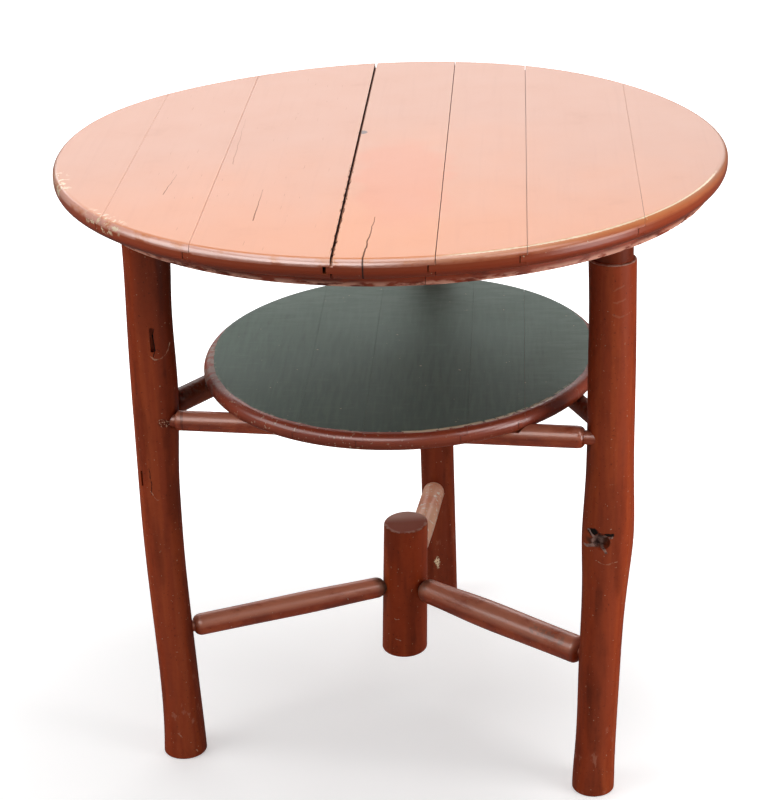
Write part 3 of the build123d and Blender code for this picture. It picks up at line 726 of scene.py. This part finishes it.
# %% Red paint on the rungs and arms
def make_stick_paint(name, wear, shade=0.0):
    """Brick red paint on the whittled bars, rubbed pink on their upper side, which is also painted
    lighter as a painted highlight. A shade above 0 darkens the bar all over as painted shade.
    """
    f, colour, ripple, blotch, fine, nicks = pole_layers(name, (70, 22))
    rough_place = f.shaken(200.0, 0.004)
    # Upper side painted pinker: partly rubbed paint, partly a painted highlight where light falls from
    # above.
    rubbed = f.past(f.facing_up, -0.05, 0.55) * f.past(ripple * 0.7 + blotch * 0.3, 0.28, 0.50)
    colour = f.over(colour, rubbed_and_highlight_rose, rubbed * (0.85 - shade))
    colour = f.over(colour, worn_rose, f.past(blotch, 0.30, 0.52) * wear)
    specks = f.past(f.noise(f.place, 160.0, 1.0), 0.63, 0.67)
    colour = f.over(colour, speck_white, specks * wear)
    colour = f.over(colour, speck_cream, nicks * 0.6)

    groove = 0.0
    for middle in rung_grooves:
        groove = f.spot(f.place, middle, (0.0020, 0.03, 0.03)).at_least(groove)
    # Painted shade in the grooves near the rung ends.
    colour = f.over(colour, dark_red, groove * 0.4)

    scar = f.strokes(f.shaken(60.0, 0.01), arm_scar, 0.016)
    scar_dark = f.strokes(f.shaken(120.0, 0.006), arm_scar, 0.004)
    colour = f.over(colour, scar_brown, scar * f.past(fine, 0.38, 0.55) * 0.7)
    colour = f.over(colour, dark_red, scar_dark * f.past(fine, 0.56, 0.48))

    grime = 0.0
    for middle in grimy_ends:
        grime = f.spot(rough_place, middle, (0.0165, 0.0165, 0.022)).at_least(grime)
    colour = f.over(colour, grime_green, grime * 0.75)
    # Painted shade: with a shade above 0 the whole bar is darkened, as if the shelf and top kept light
    # off it.
    colour = f.tint(colour, under_top_shade, shade)
    dust = f.past(f.facing_up, 0.2, 0.8) * f.past(fine, 0.45, 0.60) * shade
    colour = f.over(colour, dust_brown, dust * 0.8)
    height = ripple * 0.5 + fine * 0.14 + blotch * 0.3 - groove * 0.6
    coat = f.past(grime, 0.8, 0.2) * (0.40 - shade * 0.35 - wear * 0.35)
    return f.finish(colour, 0.30 + blotch * 0.15, f.bump(height, 0.0020, 0.6), 0.12, coat)


stick_paint = make_stick_paint("brick_red_stick", 0.0)
worn_stick_paint = make_stick_paint("worn_pink_stick", 0.8)
# A shaded copy of the bar paint for the rungs under the shelf: painted shade.
shaded_stick_paint = make_stick_paint("shaded_brown_stick", 0.0, 0.8)


# %% Red paint on the post
post_middle_x = 0.006
post_scuffs = (
    ((-0.0150, -0.0240, 0.1400), (-0.0110, -0.0250, 0.1360), (-0.0060, -0.0265, 0.1370)),
    ((-0.0140, -0.0250, 0.1200), (-0.0080, -0.0270, 0.1250)),
    ((-0.0110, -0.0255, 0.1090), (-0.0040, -0.0275, 0.1065)),
)


def make_post_paint():
    """Brick red paint on the post, worn through on its sawn top."""
    f, colour, ripple, blotch, fine, nicks = pole_layers("brick_red_post", (8, 44))
    colour = f.over(colour, cream_chip, nicks * 0.3)
    rough_place = f.shaken(200.0, 0.004)
    scuffs = 0.0
    for corners in post_scuffs:
        scuffs = f.strokes(rough_place, corners, 0.0016).at_least(scuffs)
    colour = f.over(colour, scuff_tan, scuffs * f.past(fine, 0.40, 0.52) * 0.7)
    off_x = f.x - post_middle_x
    from_axis = (off_x * off_x + f.y * f.y) ** 0.5
    sawn = f.past(f.facing_up, 0.80, 0.95)
    worn = f.past(from_axis + (blotch - 0.5) * 0.006, 0.0215, 0.0250)
    colour = f.over(colour, sawn_red, sawn)
    colour = f.over(colour, sawn_pale, sawn * f.past(f.y, -0.002, 0.018) * 0.8)
    edge = worn * f.past(f.z, 0.247, 0.251) * f.past(fine, 0.42, 0.56)
    colour = f.over(colour, post_edge_tan, edge * f.past(f.facing_up, 0.40, 0.80) * 0.5)
    height = ripple * 0.5 + fine * 0.14 + blotch * 0.3
    roughness = 0.36 + blotch * 0.15 + sawn * 0.1
    return f.finish(colour, roughness, f.bump(height, 0.0022, 0.6), 0.09)


post_paint = make_post_paint()


# %% [markdown]
# ## The shelf
# Its top was painted a dark grey green over the grain, and its rim red. The line between the two was
# cut by hand a thumb's width in from the edge, and cream undercoat shows along it in small chips.
# The two paints shine differently, so each is a surface of its own, and a mask picks one of them.

# %% Facts of the shelf
shelf_middle = (0.008, 0.0, 0.4855)
shelf_slope = (0.012, 0.032)
shelf_reach = 0.235
red_band = 0.0124
painted_line = shelf_reach - red_band
print("the green paint ends", round(painted_line * 1000, 1), "mm from the middle")


# %% The green flat
def shelf_flat(f, from_x, grain, brush, clouds, figure):
    """Dark grey green over the grain, with a few specks. It is painted paler at the rear and the right,
    as painted light, and darker towards the front, as painted shade.
    """
    light_grain = f.past(grain * 0.6 + clouds * 0.4, 0.45, 0.62) * 0.6
    colour = f.over(shelf_green, shelf_green_light, light_grain)
    colour = f.over(colour, shelf_green_light, f.past(brush, 0.52, 0.72) * 0.45)
    colour = f.over(colour, shelf_olive, f.past(clouds, 0.5, 0.75) * 0.5)
    colour = f.over(colour, shelf_green_dark, f.past(grain, 0.44, 0.30) * 0.6)
    # Painted shade: darker towards the front.
    colour = f.tint(colour, shelf_front_shade, f.past(f.y, 0.14, -0.16) * 0.5)
    # Painted light: paler towards the rear and the right, broken up by the figure.
    paler = f.past(f.y, 0.02, 0.22).at_least(f.past(from_x, 0.10, 0.24) * 0.9)
    paler = paler * (f.past(figure, 0.40, 0.62) * 0.6 + 0.4)
    colour = f.over(colour, shelf_lit_pale, paler * 0.75)
    specks = f.past(f.noise(f.place, 170.0, 2.0), 0.745, 0.76)
    return f.over(colour, cream_chip, specks * 0.6)


# %% The red rim of the shelf
def shelf_rim(f):
    """Colour of the rim: red-brown below as painted shade, specked, most of all at the left."""
    blotch = f.noise(f.point(f.x * 40, f.y * 40, f.z * 60), 1.0, 5.0)
    colour = f.over(shelf_rim_red, orange_red, f.past(blotch, 0.45, 0.70) * 0.5)
    # Painted shade on the rim's downward faces.
    colour = f.over(colour, brown_red, f.past(f.facing_up, 0.25, -0.3) * 0.8)
    specks = f.past(f.noise(f.place, 240.0, 1.0), 0.66, 0.70)
    return f.over(colour, speck_cream, specks * (f.past(f.x, 0.05, -0.10) * 0.6 + 0.15))


# %% Chips along the painted line
def shelf_chips(f, line):
    """Mask of the cream chips between green and red, most of them at the front right."""
    wear = f.noise(f.point(f.x * 120, f.y * 120, f.z * 120), 1.0, 4.0, 0.6)
    near_line = f.past(abs(line - painted_line), 0.0038, 0.0012)
    front_right = f.past(f.y, -0.10, -0.16) * f.past(f.x, -0.02, 0.03)
    return f.past(wear + front_right * 0.13, 0.54, 0.60) * near_line * (front_right * 0.85 + 0.15)


# %% Green and red paint on the shelf
def make_shelf_paint():
    """Dark grey-green paint with a red rim for the shelf boards."""
    f = Finish("dark_green_shelf")
    across, along = across_and_along(f)
    from_x = f.x - shelf_middle[0]
    radius = (from_x * from_x + f.y * f.y) ** 0.5
    depth = f.z - shelf_middle[2] - from_x * shelf_slope[0] - f.y * shelf_slope[1]
    grain = f.noise(f.point(across * 170, along * 16, 0), 1.0, 5.0)
    brush = f.noise(f.point(across * 30, along * 130, 7), 1.0, 4.0)
    clouds = f.noise(f.point(f.x * 8, f.y * 8, 0), 1.0, 5.0)
    figure = f.noise(f.point(across * 24, along * 90, 3), 1.0, 3.0)
    colour = shelf_flat(f, from_x, grain, brush, clouds, figure)
    splits = short_splits(f, across, along, 0.25, 0.014, 0.0005)
    colour = f.over(colour, dirt_and_shade_black, splits * 0.5)

    wobble = f.noise(f.point(f.x * 30, f.y * 30, 0), 1.0, 3.0) - 0.5
    line = radius + wobble * 0.004 - f.past(f.y, -0.02, 0.12) * 0.0085
    red = f.past(line, painted_line - 0.0006, painted_line + 0.0006)
    red = red.at_least(f.past(depth, -0.0015, -0.0025))
    colour = f.over(colour, shelf_rim(f), red)
    left_wear = f.past(f.x, -0.17, -0.215) * f.past(abs(f.y), 0.11, 0.05)
    worn_rim = f.past(f.noise(f.place, 70.0, 5.0, 0.65), 0.44, 0.56) * red
    colour = f.over(colour, rim_wood, worn_rim * left_wear * 0.85)
    chips = shelf_chips(f, line)
    colour = f.over(colour, cream_chip, chips)

    rippled = figure * f.past(clouds, 0.45, 0.60) * 0.35
    height = grain * 0.2 + brush * 0.15 + rippled - chips * 0.4 - splits * 0.3 + 0.4
    normal = f.bump(height, 0.0010, 0.6)
    coat = f.past(f.facing_up, -0.2, 0.2) * f.past(f.y, -0.06, -0.14) * 0.45
    flat = f.paint(colour, 0.46 + clouds * 0.12, normal, 0.86, 0.0, green_gleam)
    rim = f.paint(colour, 0.36 + clouds * 0.12, normal, 0.22, coat)
    return f.hand_over(f.node("MixShader", {}, {0: red, 1: flat, 2: rim}))


shelf_paint = make_shelf_paint()


# %% Dull steel for the hidden screws
def make_screw_steel():
    """Dull grey steel with a little rust."""
    f = Finish("dull_screw_steel")
    rust = f.past(f.noise(f.place, 300.0, 3.0), 0.5, 0.65)
    colour = f.over(steel_grey, rust_brown, rust * 0.7)
    surface = f.node("BsdfPrincipled", {}, {
        "Base Color": colour, "Roughness": 0.45 + rust * 0.3, "Metallic": 1 - rust * 0.7,
    })
    return f.hand_over(surface)


screw_steel = make_screw_steel()

# %% [markdown]
# ## Dress the joinery
# Each piece of joinery keeps its mesh and takes its finish by name. Where two names fit, the longer
# one counts, so the front rung and the rear arm get a finish of their own.

# %% Give every piece its finish
finish_of = {
    "top_board": top_paint,
    "ring_segment": ring_paint,
    "ring_screws": screw_steel,
    "leg": pole_paint,
    "rung": shaded_stick_paint,
    "rung_front": stick_paint,
    "arm": stick_paint,
    "arm_back": worn_stick_paint,
    "centre_post": post_paint,
    "shelf_board": shelf_paint,
    "shelf_screws": screw_steel,
}
for name, piece in nodes.items():
    kind = max((kind for kind in finish_of if name.startswith(kind)), key=len)
    piece.data.materials.clear()
    piece.data.materials.append(finish_of[kind])
print("finished", sorted(nodes))

# %% [markdown]
# ## Floor
# A plain white floor runs far out and catches the soft shadow under the table. It has a little glow of
# its own that only the camera sees: weak in the shadow, stronger further out, where the lamps reach
# less, so the ground stays evenly white. The paint doesn't mirror the floor, because white all round
# would veil the dark poles with grey.

# %% Floor
floor_reach = 12
floor_mesh = bpy.data.meshes.new("floor")
floor_form = bmesh.new()
bmesh.ops.create_grid(floor_form, x_segments=1, y_segments=1, size=floor_reach)
floor_form.to_mesh(floor_mesh)
floor_form.free()
floor = bpy.data.objects.new("floor", floor_mesh)
bpy.context.scene.collection.objects.link(floor)
print("floor reaches", floor_reach, "m out")

# %% White floor paint
shadow_middle_x, shadow_middle_y = -0.18, -0.10
floor_finish = Finish("white_floor")
seen = floor_finish.node("LightPath")["Is Camera Ray"]
out_x, out_y = floor_finish.x - shadow_middle_x, floor_finish.y - shadow_middle_y
from_table = (out_x * out_x + out_y * out_y) ** 0.5
glow = (floor_finish.past(from_table, 0.25, 1.1) * 0.65 + 0.35) * seen
paper = floor_finish.node("BsdfDiffuse", {}, {"Color": floor_white})
glow_colour = floor_finish.point(glow, glow, glow)
lift = floor_finish.node("Emission", {}, {"Color": glow_colour, "Strength": 1.0})
both = floor_finish.node("AddShader", {}, {0: paper, 1: lift})
floor_mesh.materials.append(floor_finish.hand_over(both))
floor.visible_glossy = False

# %% [markdown]
# ## Light
# The surroundings fill every side with a weak even light, and look plain white to the camera. A large
# soft panel hangs overhead and one stands at each side, the right one small, near and strong. One
# stands far behind, to be mirrored in the glossy top. Two white cards high in front are there for the
# gloss only: they draw the thin gleams along rims and bars, and light nothing.

# %% Surroundings
fill_strength = 0.136
world = bpy.data.worlds.new("surroundings")
bpy.context.scene.world = world
sky = Graph(world)
seen = sky.node("LightPath")["Is Camera Ray"]
brightness = seen * (1 - fill_strength) + fill_strength
backdrop = sky.node("Background", {}, {"Color": (1, 1, 1, 1), "Strength": brightness})
sky.node("OutputWorld", {}, {"Surface": backdrop})
print("fill light", fill_strength)


# %% Soft panels
def soft_panel(name, spot, target, width, height, level):
    """A rectangle of even light of a given brightness, where 1 would look just white."""
    lamp = bpy.data.lights.new(name, "AREA")
    lamp.shape = "RECTANGLE"
    lamp.size = width
    lamp.size_y = height
    lamp.energy = level * pi * width * height
    panel = bpy.data.objects.new(name, lamp)
    bpy.context.scene.collection.objects.link(panel)
    panel.location = spot
    direction = Vector(target) - Vector(spot)
    panel.rotation_euler = direction.to_track_quat("-Z", "Y").to_euler()
    panel.visible_camera = False
    print(name, "at", spot, "level", level)
    return panel


soft_panel("overhead_panel", (0, 0.1, 2.6), (0, 0, 0), 2.4, 2.4, 2.3)
soft_panel("right_panel", (0.95, -0.60, 0.56), (0.235, -0.2, 0.52), 0.5, 0.5, 5.8)
soft_panel("left_panel", (-1.9, -0.5, 1.75), (-0.2, -0.1, 0.5), 1.5, 1.5, 2.6)
soft_panel("rear_panel", (0, 3.6, 2.1), (0, 0, 0.8), 5.0, 1.8, 2.2)

# %% White cards, which only the gloss sees
card_target = (0, 0, 0.45)
left_card = soft_panel("left_card", (-0.88, -1.88, 1.95), card_target, 2.0, 1.3, 3.8)
right_card = soft_panel("right_card", (1.46, -1.36, 2.05), card_target, 1.0, 1.2, 4.0)
for card in (left_card, right_card):
    card.visible_diffuse = False

# %% View
bpy.context.scene.view_settings.view_transform = "Standard"
